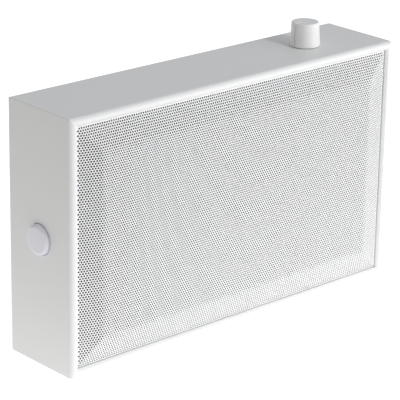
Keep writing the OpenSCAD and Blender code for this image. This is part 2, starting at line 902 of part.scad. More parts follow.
// Round wire wound around the stem, swept along a helix
module button_spring() {
    low = button_wall - button_out + spring_wire / 2;
    high = plate_in - spring_wire / 2;
    rings = spring_turns * spring_steps;
    wire_r = spring_wire / 2;
    points = [
        for (i = [0:rings], j = [0:spring_sides - 1])
            let (
                turn = 360 * i / spring_steps,
                side = 360 * j / spring_sides,
                r = spring_r + wire_r * cos(side),
                h = low + (high - low) * i / rings + wire_r * sin(side)
            )
            [r * cos(turn), r * sin(turn), h]
    ];
    sides = [
        for (i = [0:rings - 1], j = [0:spring_sides - 1])
            let (a = i * spring_sides + j, b = i * spring_sides + (j + 1) % spring_sides)
            [a, b, b + spring_sides, a + spring_sides]
    ];
    first = [for (j = [spring_sides - 1:-1:0]) j];
    last = [for (j = [0:spring_sides - 1]) rings * spring_sides + j];
    color("silver") from_left() polyhedron(points, concat(sides, [first, last]));
}

module switch_body() {
    color("dimgray") from_left() translate([0, 0, plate_in + bracket_t]) difference() {
        translate([-switch_w / 2, -switch_w / 2, 0]) cube([switch_w, switch_w, switch_l]);
        translate([0, 0, -cut]) cylinder(d = stem_d + 2 * run_gap, h = switch_l - switch_wall + cut);
    }
}

// Bent bracket that holds the switch behind the button
module switch_bracket() {
    web = web_gap / 2;
    toe = web + bracket_t + foot_w;
    color("silver") from_left() difference() {
        translate([0, bracket_w / 2, 0]) rotate([90, 0, 0])
            linear_extrude(height = bracket_w) polygon([
                [-toe, wall], [-web, wall], [-web, plate_in], [web, plate_in],
                [web, wall], [toe, wall], [toe, wall + bracket_t],
                [web + bracket_t, wall + bracket_t], [web + bracket_t, plate_in + bracket_t],
                [-web - bracket_t, plate_in + bracket_t], [-web - bracket_t, wall + bracket_t],
                [-toe, wall + bracket_t]
            ]);
        translate([0, 0, plate_in - cut])
            cylinder(d = stem_d + 2 * stem_clear, h = bracket_t + 2 * cut);
        for (side = [-1, 1])
            translate([side * bracket_screw_x, 0, wall + bracket_t])
                shank_hole(bracket_screw, bracket_t + cut);
    }
}

module bracket_screws() {
    color("silver") from_left() for (side = [-1, 1])
        translate([side * bracket_screw_x, 0, wall + bracket_t]) pan_screw(bracket_screw);
}

cabinet();
corner_blocks();
baffle();
grille();
grille_screws();
acoustic_cloth();
back_panel();
back_panel_screws();
keyhole_plates();
keyhole_screws();
cable_grommet();
terminal_block();
terminal_screws();
driver_basket();
driver_gasket();
driver_screws();
surround();
cone();
dust_cap();
spider();
voice_coil();
top_plate();
ring_magnet();
pole_piece();
transformer_core();
transformer_winding();
transformer_frame();
transformer_screws();
volume_control();
control_shaft();
control_washer();
control_nut();
volume_knob();
button_cap();
button_spring();
switch_body();
switch_bracket();
bracket_screws();
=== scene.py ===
"""Wall speaker: a white cabinet with a pressed perforated grille, a volume knob and a push button.

The lengths in this script are millimetres in the row frame: X along the width, Y from the grille
to the wall and Z up. Every mesh is computed with numpy and turned into metres by mesh_from.
"""
import json
import math

import bpy
import numpy as np
from mathutils import Matrix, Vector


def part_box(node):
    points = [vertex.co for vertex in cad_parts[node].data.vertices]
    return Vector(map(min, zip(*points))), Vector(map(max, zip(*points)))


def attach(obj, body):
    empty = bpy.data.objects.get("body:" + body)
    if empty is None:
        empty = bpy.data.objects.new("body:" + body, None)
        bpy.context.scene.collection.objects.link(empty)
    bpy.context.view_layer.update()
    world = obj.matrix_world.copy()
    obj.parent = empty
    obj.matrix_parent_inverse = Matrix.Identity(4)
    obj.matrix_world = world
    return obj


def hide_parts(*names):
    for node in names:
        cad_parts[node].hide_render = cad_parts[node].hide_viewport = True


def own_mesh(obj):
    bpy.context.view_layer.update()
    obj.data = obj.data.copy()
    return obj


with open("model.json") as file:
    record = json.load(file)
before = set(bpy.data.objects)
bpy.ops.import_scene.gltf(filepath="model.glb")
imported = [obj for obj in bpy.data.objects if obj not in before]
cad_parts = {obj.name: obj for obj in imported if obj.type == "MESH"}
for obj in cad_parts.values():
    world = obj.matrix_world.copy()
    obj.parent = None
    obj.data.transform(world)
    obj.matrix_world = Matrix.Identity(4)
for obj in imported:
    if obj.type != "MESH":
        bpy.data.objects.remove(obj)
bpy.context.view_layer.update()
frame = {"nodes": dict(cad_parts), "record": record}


def box_mm(node):
    """Lowest and highest corner of a CAD node, in millimetres."""
    low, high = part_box(node)
    return np.array(low) * 1000, np.array(high) * 1000


# Cabinet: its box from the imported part, the board at the opening, the arcs of the outer and the
# inner front edge with their turns in degrees, and the corner radii outside and inside the crest
CAB_LOW, CAB_HIGH = box_mm("cabinet")
HALF_W = (CAB_HIGH[0] - CAB_LOW[0]) / 2
HALF_H = (CAB_HIGH[2] - CAB_LOW[2]) / 2
FRONT_Y, REAR_Y = CAB_LOW[1], CAB_HIGH[1]
DEPTH = REAR_Y - FRONT_Y
MID_Z = (CAB_LOW[2] + CAB_HIGH[2]) / 2
WALL = 6.2
EDGE_R = 3.2
EDGE_TURN = 55
FRONT_R = 4.4
INNER_R = 1.5
INNER_TURN = 43
OUTER_CORNER = 0.6
INNER_CORNER = 0.25

# Grille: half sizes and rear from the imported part, depth of the rim behind the front edges, slopes,
# sheet, rounded folds, and the holes with their spacing along and across the rows
GRILLE_LOW, GRILLE_HIGH = box_mm("grille")
PAN_W = (GRILLE_HIGH[0] - GRILLE_LOW[0]) / 2
PAN_H = (GRILLE_HIGH[2] - GRILLE_LOW[2]) / 2
PAN_BACK = GRILLE_HIGH[1] - FRONT_Y
RIM_DEPTH = 2.8
BEVEL_W = 19.5
BEVEL_RISE = 6.0
SHEET_T = 0.8
LIP_W = 6.0
SHEET_FOLD = 0.3
CORNER_FOLD = 1.2
MIDDLE_FOLD = 2.4
PLAIN_EDGE = 0.3
HOLE_COLS = 148
HOLE_ROWS = 100
PITCH = 2 * (PAN_W - SHEET_FOLD - PLAIN_EDGE) / HOLE_COLS
ROW_STEP = 2 * (PAN_H - SHEET_FOLD - PLAIN_EDGE) / HOLE_ROWS
HOLE_D = 1.52
HOLE_DEPTH = 0.55
HOLE_SIDES = 8
GRILLE_BAYS = 4

# Knob, its shaft's hole and the way its pointer looks, in degrees from +X
KNOB_LOW, KNOB_HIGH = box_mm("volume_knob")
KNOB_X = (KNOB_LOW[0] + KNOB_HIGH[0]) / 2
KNOB_Y = (KNOB_LOW[1] + KNOB_HIGH[1]) / 2
KNOB_STEPS = 256
SHAFT_HOLE_R = 4.7
POINTER_AT = 183

# Button, its hole and its spring
BUTTON_LOW, BUTTON_HIGH = box_mm("button_cap")
BUTTON_STEPS = 192
BUTTON_HOLE = 23.0
SPRING_LOW, SPRING_HIGH = box_mm("button_spring")
SPRING_R = 4.5
SPRING_TURNS = 6
SPRING_RINGS = 217
WIRE_R = 0.5
WIRE_SIDES = 12

# Steps round a bored hole and round the floor, and the turn in degrees that makes an edge crisp
ROUND_STEPS = 96
SHARP_TURN = 40.0


# ---------------------------------------------------------------- camera
# From a fit of the cabinet's corners to the photo: lens in mm, place in metres, axes
CAMERA_LENS = 186.55
CAMERA_PLACE = (-0.9652, -1.0529, 0.605)
CAMERA_RIGHT = (0.74382, -0.6683, 0.01631)
CAMERA_UP = (0.21647, 0.26386, 0.93999)
CAMERA_BACK = (-0.63252, -0.69553, 0.34089)


def add_camera():
    """The photo's camera."""
    data = bpy.data.cameras.new("camera")
    data.lens = CAMERA_LENS
    data.sensor_width = 36.0
    data.clip_end = 50.0
    camera = bpy.data.objects.new("camera", data)
    bpy.context.scene.collection.objects.link(camera)
    turn = Matrix((CAMERA_RIGHT, CAMERA_UP, CAMERA_BACK)).transposed().to_4x4()
    camera.matrix_world = Matrix.Translation(CAMERA_PLACE) @ turn
    bpy.context.scene.camera = camera


add_camera()


# ---------------------------------------------------------------- meshes
def mesh_from(name, points, face_sets, sharp=SHARP_TURN):
    """Object from points in millimetres and index arrays of triangles and quads.

    Edges that turn by more than sharp degrees stay crisp, all others are shaded smooth.
    """
    points = np.asarray(points, float).reshape(-1, 3) * 0.001
    loops = np.concatenate([f.ravel() for f in face_sets]).astype(np.int32)
    sizes = np.concatenate([np.full(len(f), f.shape[1]) for f in face_sets])
    starts = np.concatenate([[0], np.cumsum(sizes)[:-1]]).astype(np.int32)
    mesh = bpy.data.meshes.new(name)
    mesh.vertices.add(len(points))
    mesh.vertices.foreach_set("co", points.astype(np.float32).ravel())
    mesh.loops.add(len(loops))
    mesh.loops.foreach_set("vertex_index", loops)
    mesh.polygons.add(len(sizes))
    mesh.polygons.foreach_set("loop_start", starts)
    mesh.update(calc_edges=True)
    mesh.validate()
    mesh.polygons.foreach_set("use_smooth", np.ones(len(mesh.polygons), bool))
    mesh.set_sharp_from_angle(angle=math.radians(sharp))
    obj = bpy.data.objects.new(name, mesh)
    bpy.context.scene.collection.objects.link(obj)
    return obj


def outward(points, quads):
    """Quads of a closed shell with their faces outward.

    The signed volume is the sum of a . (b x c) / 6 over the triangles; a shell whose sum is
    below zero is turned inside out, so its quads are reversed.
    """
    a, b, c, d = (points[quads[:, k]] for k in range(4))
    volume = np.einsum("ij,ij->i", a, np.cross(b, c)) + np.einsum("ij,ij->i", a, np.cross(c, d))
    return quads if volume.sum() > 0 else quads[:, ::-1]


def ring_quads(rows, cols, close_rows=False):
    """Quads of a grid of rows x cols points whose columns close on themselves."""
    last = rows if close_rows else rows - 1
    i, j = np.meshgrid(np.arange(last), np.arange(cols), indexing="ij")
    k, n = (i + 1) % rows, (j + 1) % cols
    quads = np.stack([i * cols + j, i * cols + n, k * cols + n, k * cols + j], axis=-1)
    return quads.reshape(-1, 4)


def arc(cx, cy, r, start, end, steps):
    """Points of a circular arc: (cx + r cos t, cy + r sin t), t in degrees."""
    t = np.radians(np.linspace(start, end, steps + 1))
    return np.column_stack([cx + r * np.cos(t), cy + r * np.sin(t)])


def framed(name, profile, corner, steps=4, guard=0.3):
    """Profile of (inset, depth) points carried round the cabinet's rectangle.

    A point at inset i and depth d lies at |x| = half width - i and |z - middle| = half height - i,
    with y = front + d; the corner of that rectangle is an arc of the row's own corner radius, in
    so many steps. A point on the side at each end of the arc, guard away, keeps the shading flat.
    """
    inset, depth = profile[:, 0][:, None], profile[:, 1][:, None]
    r = np.broadcast_to(np.asarray(corner, float), (len(profile),))[:, None]
    xs, zs = [], []
    for k, (sx, sz) in enumerate([(1, 1), (-1, 1), (-1, -1), (1, -1)]):
        t = np.radians(90 * k + np.linspace(0, 90, steps + 1))[None, :]
        x = sx * (HALF_W - inset - r) + r * np.cos(t)
        z = sz * (HALF_H - inset - r) + r * np.sin(t)
        before = np.radians(90 * k + 90)
        after = np.radians(90 * k + 180)
        xs += [x[:, :1] - guard * np.cos(before), x, x[:, -1:] + guard * np.cos(after)]
        zs += [z[:, :1] - guard * np.sin(before), z, z[:, -1:] + guard * np.sin(after)]
    x, z = np.hstack(xs), np.hstack(zs)
    y = np.broadcast_to(FRONT_Y + depth, x.shape)
    points = np.stack([x, y, z + MID_Z], axis=-1).reshape(-1, 3)
    quads = outward(points, ring_quads(*x.shape, close_rows=True))
    return mesh_from(name, points, [quads])


def revolved(profile, steps):
    """Points (r cos a, r sin a, h) of a (radius, height) profile turned about its own axis."""
    a = np.linspace(0, 2 * math.pi, steps, endpoint=False)
    r, h = profile[:, 0][:, None], profile[:, 1][:, None]
    return np.stack([r * np.cos(a), r * np.sin(a), np.broadcast_to(h, (len(profile), steps))], -1)


def soft_min(a, b, k):
    """Smaller of a and b with the corner between them rounded over a width k."""
    h = np.clip(k - np.abs(a - b), 0, None) / k
    return np.minimum(a, b) - h * h * k / 4


def sheet_depth(x, z):
    """Depth of the sheet's front behind the cabinet's front edges.

    With t the distance in from the rim, depth = rim depth - rise * min(t, bevel) / bevel. The
    folds between two slopes and between a slope and the flat middle are rounded by soft_min.
    """
    t = soft_min(PAN_W - np.abs(x), PAN_H - np.abs(z), CORNER_FOLD)
    t = soft_min(t, BEVEL_W, MIDDLE_FOLD)
    return RIM_DEPTH - BEVEL_RISE * t / BEVEL_W


def on_sheet(x, z, back):
    """Points on the front (back = 0) or the rear (back = 1) of the holed sheet over (x, z).

    The front point is (x, front + depth, z). Its normal is (dd/dx, -1, dd/dz) scaled to length
    one, and the rear point lies one hole depth behind it along that normal.
    """
    e = 0.02
    slope_x = (sheet_depth(x + e, z) - sheet_depth(x - e, z)) / (2 * e)
    slope_z = (sheet_depth(x, z + e) - sheet_depth(x, z - e)) / (2 * e)
    normal = np.stack([slope_x, -np.ones_like(slope_x), slope_z], -1)
    normal /= np.linalg.norm(normal, axis=-1, keepdims=True)
    front = np.stack([x, FRONT_Y + sheet_depth(x, z), z + MID_Z], -1)
    return front - normal * (HOLE_DEPTH * back)[..., None]


def zipped(outer, inner):
    """Triangles between two convex rings round the origin, the one inside the other.

    Both rings run anticlockwise. The walk always moves on the ring whose next point comes first
    by angle. Indices below len(outer) are the outer ring, the rest the inner ring.
    """
    n, m = len(outer), len(inner)
    outer_turn = np.unwrap(np.arctan2(outer[:, 1], outer[:, 0]))
    inner_turn = np.unwrap(np.arctan2(inner[:, 1], inner[:, 0]))
    inner_turn += 2 * math.pi * round((outer_turn[0] - inner_turn[0]) / (2 * math.pi))
    i = j = 0
    triangles = []
    while i < n or j < m:
        next_outer = outer_turn[(i + 1) % n] + 2 * math.pi * ((i + 1) // n)
        next_inner = inner_turn[(j + 1) % m] + 2 * math.pi * ((j + 1) // m)
        if j >= m or (i < n and next_outer <= next_inner):
            triangles.append((i % n, (i + 1) % n, n + j % m))
            i += 1
        else:
            triangles.append((i % n, n + (j + 1) % m, n + j % m))
            j += 1
    return np.array(triangles)


def perforated_bays(bays):
    """Perforated part of the grille, in bays side by side.

    The sheet is a brick pattern of cells, one pitch wide and one row step high, each with a hole
    in its middle, every second row moved by half a pitch. The cells share their corner points.
    All points are laid out flat and then put on the bevelled surface by on_sheet. A hole's points
    lie at (r cos a, r sin a) from its middle. Each bay has the front, the rear and the hole walls.
    """
    cols, rows, step = HOLE_COLS, HOLE_ROWS, ROW_STEP
    x_end, z_end = PAN_W - SHEET_FOLD, PAN_H - SHEET_FOLD
    x_lines = np.concatenate([[-x_end], (np.arange(2 * cols + 1) - cols) * PITCH / 2, [x_end]])
    z_lines = np.concatenate([[-z_end], (np.arange(rows + 1) - rows / 2) * step, [z_end]])
    wide = len(x_lines)
    grid_x, grid_z = np.meshgrid(x_lines, z_lines)
    corners = np.stack([grid_x.ravel(), grid_z.ravel()], -1)

    # The cells: the first half column and the row of each
    row = np.arange(rows)
    even = np.stack(np.meshgrid(np.arange(0, 2 * cols, 2), row[::2]), -1).reshape(-1, 2)
    odd = np.stack(np.meshgrid(np.arange(1, 2 * cols - 1, 2), row[1::2]), -1).reshape(-1, 2)
    cells = np.concatenate([even, odd])
    first = (cells[:, 1] + 1) * wide + cells[:, 0] + 1
    low = np.stack([first, first + 1, first + 2], -1)
    high = low + wide
    ring = np.stack([low[:, 2], high[:, 2], high[:, 1], high[:, 0], low[:, 0], low[:, 1]], -1)
    centre = (corners[low[:, 1]] + corners[high[:, 1]]) / 2

    # The faces between a cell's edge and its hole, both rings starting at the lower right
    a = 2 * math.pi * (np.arange(HOLE_SIDES) + 0.5) / HOLE_SIDES
    hole = np.roll(np.stack([np.cos(a), np.sin(a)], -1) * HOLE_D / 2, HOLE_SIDES // 8, axis=0)
    half = np.array([[1, -1], [1, 1], [0, 1], [-1, 1], [-1, -1], [0, -1]]) * [PITCH / 2, step / 2]
    pattern = zipped(half, hole)

    # The plain faces: the margin all round and the half cells at the ends of the odd rows
    i, j = np.meshgrid(np.arange(wide - 1), np.arange(len(z_lines) - 1))
    margin = (i == 0) | (i == wide - 2) | (j == 0) | (j == len(z_lines) - 2)
    ends = ((i == 1) | (i == wide - 3)) & (j % 2 == 0) & ~margin
    plain = (j * wide + i)[margin | ends]
    plain = np.stack([plain, plain + 1, plain + 1 + wide, plain + wide], -1)

    bay_of_cell = cells[:, 0] // 2 * bays // cols
    bay_of_plain = np.clip((plain[:, 0] % wide - 1) // 2 * bays // cols, 0, bays - 1)
    made = []
    for bay in range(bays):
        mine = bay_of_cell == bay
        count = mine.sum()
        holes = (centre[mine][:, None, :] + hole[None]).reshape(-1, 2)
        flat = np.concatenate([corners, holes])
        hole_index = len(corners) + np.arange(count * HOLE_SIDES).reshape(count, HOLE_SIDES)
        cell_index = np.concatenate([ring[mine], hole_index], axis=1)
        front = cell_index[:, pattern].reshape(-1, 3)
        quads = plain[bay_of_plain == bay]
        rear = len(flat)
        nxt = np.roll(hole_index, -1, axis=1)
        walls = np.stack([hole_index, hole_index + rear, nxt + rear, nxt], -1).reshape(-1, 4)
        layers = np.concatenate([flat, flat])
        back = np.repeat([0.0, 1.0], rear)
        triangles = np.concatenate([front, front[:, ::-1] + rear])
        quads = np.concatenate([quads, quads[:, ::-1] + rear, walls[:, ::-1]])
        every = np.concatenate([triangles.ravel(), quads.ravel()])
        used, place = np.unique(every, return_inverse=True)
        triangles, quads = np.split(place, [triangles.size])
        points = on_sheet(layers[used, 0], layers[used, 1], back[used])
        faces = [triangles.reshape(-1, 3), quads.reshape(-1, 4)]
        made.append(mesh_from(f"grille_bay_{bay + 1}", points, faces))
    return made


def cabinet_shell():
    """Board shell: rear edge, side, soft front edge, eased inner slope, inner wall.

    The front edge is a tight arc that turns by EDGE_TURN and then a wide one up to the crest, each
    at inset start + r (cos of the first angle - cos t), depth end + r (sin of the last - sin t).
    """
    turn = math.radians(EDGE_TURN)
    bend = FRONT_R * (1 - math.sin(turn))
    side = bend + EDGE_R * math.sin(turn)
    crest = EDGE_R * (1 - math.cos(turn)) + FRONT_R * math.cos(turn)
    t = np.linspace(0, turn, 13)
    tight = np.column_stack([EDGE_R - EDGE_R * np.cos(t), side - EDGE_R * np.sin(t)])
    t = np.linspace(turn, math.pi / 2, 10)[1:]
    wide = np.column_stack([crest - FRONT_R * np.cos(t), FRONT_R - FRONT_R * np.sin(t)])
    t = np.radians(np.linspace(0, INNER_TURN, 8))[1:]
    inner = np.column_stack([crest + INNER_R * np.sin(t), INNER_R - INNER_R * np.cos(t)])
    foot = inner[-1, 1] + (WALL - inner[-1, 0]) * math.tan(math.radians(INNER_TURN))
    rear = [[WALL, DEPTH], [0.5, DEPTH], [0.15, DEPTH - 0.1], [0, DEPTH - 0.5], [0, DEPTH - 0.9]]
    flank, opening = [[0, side + 0.4]], [[WALL, foot], [WALL, foot + 0.3]]
    profile = np.concatenate([rear, flank, tight, wide, inner, opening])
    corner = np.where(profile[:, 0] < crest, OUTER_CORNER, INNER_CORNER)
    shell = framed("cabinet_shell", profile, corner)
    cut_round(shell, BUTTON_HOLE / 2, (CAB_LOW[0], KNOB_Y, MID_Z), "X")
    cut_round(shell, SHAFT_HOLE_R, (KNOB_X, KNOB_Y, CAB_HIGH[2]), "Z")
    return shell


def cut_round(obj, radius, at, axis):
    """Bores a round hole of that radius through the board at a point, along an axis.

    The tool is a profile of (radius, height) points turned about that axis by revolved.
    """
    profile = np.array([[0.001, -20], [radius, -20], [radius, 20], [0.001, 20]])
    points = revolved(profile, ROUND_STEPS)
    if axis == "X":
        points = points[..., [2, 0, 1]]
    points = points.reshape(-1, 3) + np.array(at)
    quads = outward(points, ring_quads(4, ROUND_STEPS, close_rows=True))
    tool = mesh_from("hole_tool", points, [quads])
    bore = obj.modifiers.new("bore", "BOOLEAN")
    bore.operation = "DIFFERENCE"
    bore.solver = "EXACT"
    bore.object = tool
    bpy.context.view_layer.update()
    graph = bpy.context.evaluated_depsgraph_get()
    mesh = bpy.data.meshes.new_from_object(obj.evaluated_get(graph))
    obj.modifiers.remove(bore)
    obj.data = mesh
    mesh.set_sharp_from_angle(angle=math.radians(SHARP_TURN))
    bpy.data.objects.remove(tool)


def grille_rim():
    """Bent edge of the sheet: the fold, the flank beside the board and the lip on the baffle.

    Its (inset, depth) profile is carried round the cabinet's rectangle by framed.
    """
    gap = HALF_W - PAN_W
    edge = sheet_depth(np.array(PAN_W - SHEET_FOLD), np.array(0.0))
    fold = SHEET_T / math.sqrt(1 + (BEVEL_RISE / BEVEL_W) ** 2)
    profile = np.array([
        [gap + SHEET_FOLD, edge], [gap + 0.15, edge + 0.06], [gap + 0.05, edge + 0.17],
        [gap, edge + 0.35], [gap, PAN_BACK], [gap + LIP_W, PAN_BACK],
        [gap + LIP_W, PAN_BACK - SHEET_T], [gap + SHEET_T, PAN_BACK - SHEET_T],
        [gap + SHEET_T, edge + fold + 0.1],
        [gap + SHEET_FOLD + SHEET_T * 0.29, edge + fold],
    ])
    return framed("grille_rim", profile, 0.12, steps=2, guard=0.2)


def knob():
    """Volume knob: a tapered cup with a boss and a pointer groove in its side and top.

    The (radius, height) profile is turned about the shaft. The outer points are then pushed in,
    with s a smooth step. In the side it is depth * s((half width - |u|) / ease) along the radius,
    with u the distance from the pointer's plane; it fades in above the foot and only holds where
    the distance v along the pointer is past groove_start. In the top it is depth * s((radius - d)
    / ease) down, with d the distance from the line between the pointer's inner end and the edge.
    """
    low = KNOB_LOW[2]
    high = KNOB_HIGH[2] - low
    base_r, top_r, edge = 11.5, 10.3, 0.9
    taper = math.degrees(math.atan((base_r - top_r) / high))
    rounding = arc(top_r - edge + 0.03, high - edge, edge, taper, 90, 8)
    side_h = np.concatenate([[0.45, 0.7], np.linspace(1.2, high - edge - 0.3, 24)])
    side = np.column_stack([base_r - (base_r - top_r) * side_h / high, side_h])
    top_line = np.concatenate([np.linspace(top_r - edge - 0.15, 0.4, 44), [0.02]])
    top = np.column_stack([top_line, np.full(len(top_line), high)])
    bore, boss, foot, roof = 3.05, 4.5, 3.8, 15.6
    inside = np.array([
        [0.02, roof], [bore, roof], [bore, foot], [boss, foot], [boss, roof], [8.7, roof],
        [9.9, 0.3], [10.0, 0.0], [base_r - 0.4, 0.0], [base_r - 0.1, 0.15],
    ])
    profile = np.concatenate([inside, side, rounding, top])
    points = revolved(profile, KNOB_STEPS)
    groove_half, groove_ease, groove_deep, groove_foot, groove_start = 0.6, 0.25, 0.45, 1.0, 8.6
    mark_r, mark_ease, mark_deep, mark_start = 1.0, 0.5, 0.4, 4.4
    turn = math.radians(POINTER_AT)
    across = np.array([-math.sin(turn), math.cos(turn)])
    along = np.array([math.cos(turn), math.sin(turn)])
    u = points[..., 0] * across[0] + points[..., 1] * across[1]
    v = points[..., 0] * along[0] + points[..., 1] * along[1]
    outer = np.arange(len(profile))[:, None] >= len(inside) + 1
    groove = smooth((groove_half - np.abs(u)) / groove_ease) * smooth((v - groove_start) / 0.6)
    groove = groove * smooth((points[..., 2] - groove_foot) / 0.4) * outer
    r = np.hypot(points[..., 0], points[..., 1])
    points[..., 0] -= groove * groove_deep * points[..., 0] / r
    points[..., 1] -= groove * groove_deep * points[..., 1] / r
    from_line = np.hypot(u, np.clip(mark_start - v, 0, None))
    on_top = profile[:, 1][:, None] > high - edge * 0.5
    mark = smooth((mark_r - from_line) / mark_ease) * outer * on_top
    points[..., 2] -= mark_deep * mark
    points = points.reshape(-1, 3) + np.array([KNOB_X, KNOB_Y, low])
    quads = outward(points, ring_quads(len(profile), KNOB_STEPS, close_rows=True))
    return mesh_from("knob_cap", points, [quads], sharp=50)


def smooth(t):
    """Smooth step: 3 t^2 - 2 t^3 for t from 0 to 1, flat outside."""
    t = np.clip(t, 0, 1)
    return t * t * (3 - 2 * t)


def button():
    """Push button: slightly domed face, rounded edge, collar behind the board, hollow behind.

    A profile of (radius, depth inwards from the cabinet's side) is turned about the X axis. The
    face dips towards its edge by dip * (r / flat radius)^2, and the edge is a quarter round.
    """
    out = CAB_LOW[0] - BUTTON_LOW[0]
    stem = BUTTON_HIGH[0] - CAB_LOW[0]
    face_r, edge, skirt, dip = 11.15, 2.6, 7.8, 0.12
    dome = np.linspace(0.02, face_r - edge, 14)
    face = np.column_stack([dome, -out + dip * (dome / (face_r - edge)) ** 2])
    t = np.radians(np.linspace(0, 90, 17))[1:]
    rounding_depth = -out + dip + edge - edge * np.cos(t)
    rounding = np.column_stack([face_r - edge + edge * np.sin(t), rounding_depth])
    rest = np.array([
        [face_r, 0.2], [face_r, 6.0], [face_r, WALL], [face_r + 1.5, WALL], [face_r + 1.5, skirt],
        [face_r - 1.6, skirt], [face_r - 1.6, -out + 2.9], [face_r - 3.0, -out + 1.6],
        [2.5, -out + 1.6], [2.5, stem - 0.4], [2.1, stem], [0.02, stem],
    ])
    profile = np.concatenate([face, rounding, rest])
    points = revolved(profile, BUTTON_STEPS)[..., [2, 1, 0]] * [1, 1, -1]
    points = points.reshape(-1, 3) + np.array([CAB_LOW[0], KNOB_Y, MID_Z])
    quads = outward(points, ring_quads(len(profile), BUTTON_STEPS, close_rows=True))
    return mesh_from("button_face", points, [quads])


def spring():
    """Compression spring round the button's stem, with eased end coils.

    The wire's middle runs through (h, r cos a, r sin a) with a = turns * s, and h goes from end to
    end by the mean of s and its smooth step. Each ring of the tube is laid out from there by
    wire radius * cos b outward and wire radius * sin b along the axis.
    """
    s = np.linspace(0, 1, SPRING_RINGS)[:, None]
    b = np.linspace(0, 2 * math.pi, WIRE_SIDES, endpoint=False)
    a = 2 * math.pi * SPRING_TURNS * s
    low, high = SPRING_LOW[0] + WIRE_R, SPRING_HIGH[0] - WIRE_R
    h = low + (high - low) * (s + smooth(s)) / 2 + WIRE_R * np.sin(b)
    r = SPRING_R + WIRE_R * np.cos(b)
    points = np.stack([h, KNOB_Y + r * np.cos(a), MID_Z + r * np.sin(a)], -1)
    quads = ring_quads(SPRING_RINGS, WIRE_SIDES)
    side = np.arange(WIRE_SIDES)
    ends = np.stack([side, SPRING_RINGS * WIRE_SIDES - 1 - side])
    points = points.reshape(-1, 3)
    if (outward(points, quads)[0] != quads[0]).any():
        quads, ends = quads[:, ::-1], ends[:, ::-1]
    return mesh_from("press_spring", points, [quads, ends[:, ::-1]])


# ---------------------------------------------------------------- finishes
SLOTS = {}


def finish(name, colour, rough, metal=0.0, grain=0.0, size=1.0, mottle=0.0, rough_play=0.0,
           stretch=(1, 1, 1)):
    """Procedural finish, kept in SLOTS: one colour, fine bumps, mottling and uneven gloss.

    The bumps are grain high and size wide, both in mm. The mottling lightens and darkens the
    colour by its share, and rough_play moves the roughness up and down.
    """
    mat = bpy.data.materials.new(name)
    mat.use_nodes = True
    nodes, links = mat.node_tree.nodes, mat.node_tree.links
    shader = nodes["Principled BSDF"]
    shader.inputs["Base Color"].default_value = (*colour, 1)
    shader.inputs["Roughness"].default_value = rough
    shader.inputs["Metallic"].default_value = metal
    place = nodes.new("ShaderNodeTexCoord")
    scale = nodes.new("ShaderNodeMapping")
    scale.inputs["Scale"].default_value = stretch
    links.new(place.outputs["Object"], scale.inputs["Vector"])

    def noise(frequency, detail):
        """Noise in object space, with that many periods a metre."""
        node = nodes.new("ShaderNodeTexNoise")
        node.inputs["Scale"].default_value = frequency
        node.inputs["Detail"].default_value = detail
        links.new(scale.outputs["Vector"], node.inputs["Vector"])
        return node

    if grain > 0:
        bump = nodes.new("ShaderNodeBump")
        bump.inputs["Strength"].default_value = 1.0
        bump.inputs["Distance"].default_value = grain * 0.001
        links.new(noise(1000 / size, 3).outputs["Fac"], bump.inputs["Height"])
        links.new(bump.outputs["Normal"], shader.inputs["Normal"])
    if mottle > 0:
        mix = nodes.new("ShaderNodeMix")
        mix.data_type = "RGBA"
        mix.inputs["A"].default_value = (*[c * (1 - mottle) for c in colour], 1)
        mix.inputs["B"].default_value = (*[min(1, c * (1 + mottle)) for c in colour], 1)
        links.new(noise(1000 / (size * 3), 4).outputs["Fac"], mix.inputs["Factor"])
        links.new(mix.outputs["Result"], shader.inputs["Base Color"])
    if rough_play > 0:
        spread = nodes.new("ShaderNodeMapRange")
        spread.inputs["To Min"].default_value = rough - rough_play
        spread.inputs["To Max"].default_value = rough + rough_play
        links.new(noise(60, 3).outputs["Fac"], spread.inputs["Value"])
        links.new(spread.outputs["Result"], shader.inputs["Roughness"])
    SLOTS[name] = mat


finish("board_white", (0.77, 0.77, 0.77), 0.42, grain=0.012, size=0.9, mottle=0.01, rough_play=0.04)
finish("grille_white", (0.86, 0.86, 0.86), 0.5, grain=0.01, size=0.5)
finish("knob_white", (0.80, 0.80, 0.80), 0.4, grain=0.006, size=0.5, rough_play=0.03)
finish("button_white", (0.79, 0.78, 0.84), 0.32, grain=0.003, size=0.8, rough_play=0.03)
finish("cloth_grey", (0.06, 0.06, 0.062), 0.95, grain=0.05, size=0.35, mottle=0.25)
finish("board_raw", (0.52, 0.36, 0.21), 0.85, grain=0.06, size=1.6, mottle=0.18,
       stretch=(0.35, 1, 1))
finish("back_board", (0.30, 0.17, 0.09), 0.7, grain=0.05, size=1.2, mottle=0.2, rough_play=0.08)
finish("zinc_screw", (0.62, 0.62, 0.60), 0.32, metal=1.0, grain=0.004, size=0.4, rough_play=0.08)
finish("zinc_sheet", (0.60, 0.61, 0.61), 0.36, metal=1.0, grain=0.01, size=2.0, mottle=0.08,
       rough_play=0.1)
finish("steel_black", (0.035, 0.035, 0.037), 0.45, grain=0.01, size=0.6)
finish("ferrite", (0.05, 0.05, 0.052), 0.8, grain=0.03, size=0.5, mottle=0.2)
finish("grommet_rubber", (0.03, 0.03, 0.03), 0.65, grain=0.01, size=0.6)
finish("block_plastic", (0.72, 0.69, 0.60), 0.45, grain=0.006, size=0.8)
finish("switch_plastic", (0.06, 0.06, 0.065), 0.4, grain=0.005, size=0.6)
finish("cone_paper", (0.09, 0.075, 0.06), 0.9, grain=0.05, size=0.7, mottle=0.2)
finish("gasket_card", (0.07, 0.068, 0.065), 0.9, grain=0.03, size=0.6, mottle=0.15)
finish("surround_cloth", (0.05, 0.05, 0.05), 0.75, grain=0.03, size=0.4)
finish("spider_cloth", (0.60, 0.42, 0.16), 0.8, grain=0.03, size=0.35, mottle=0.1)
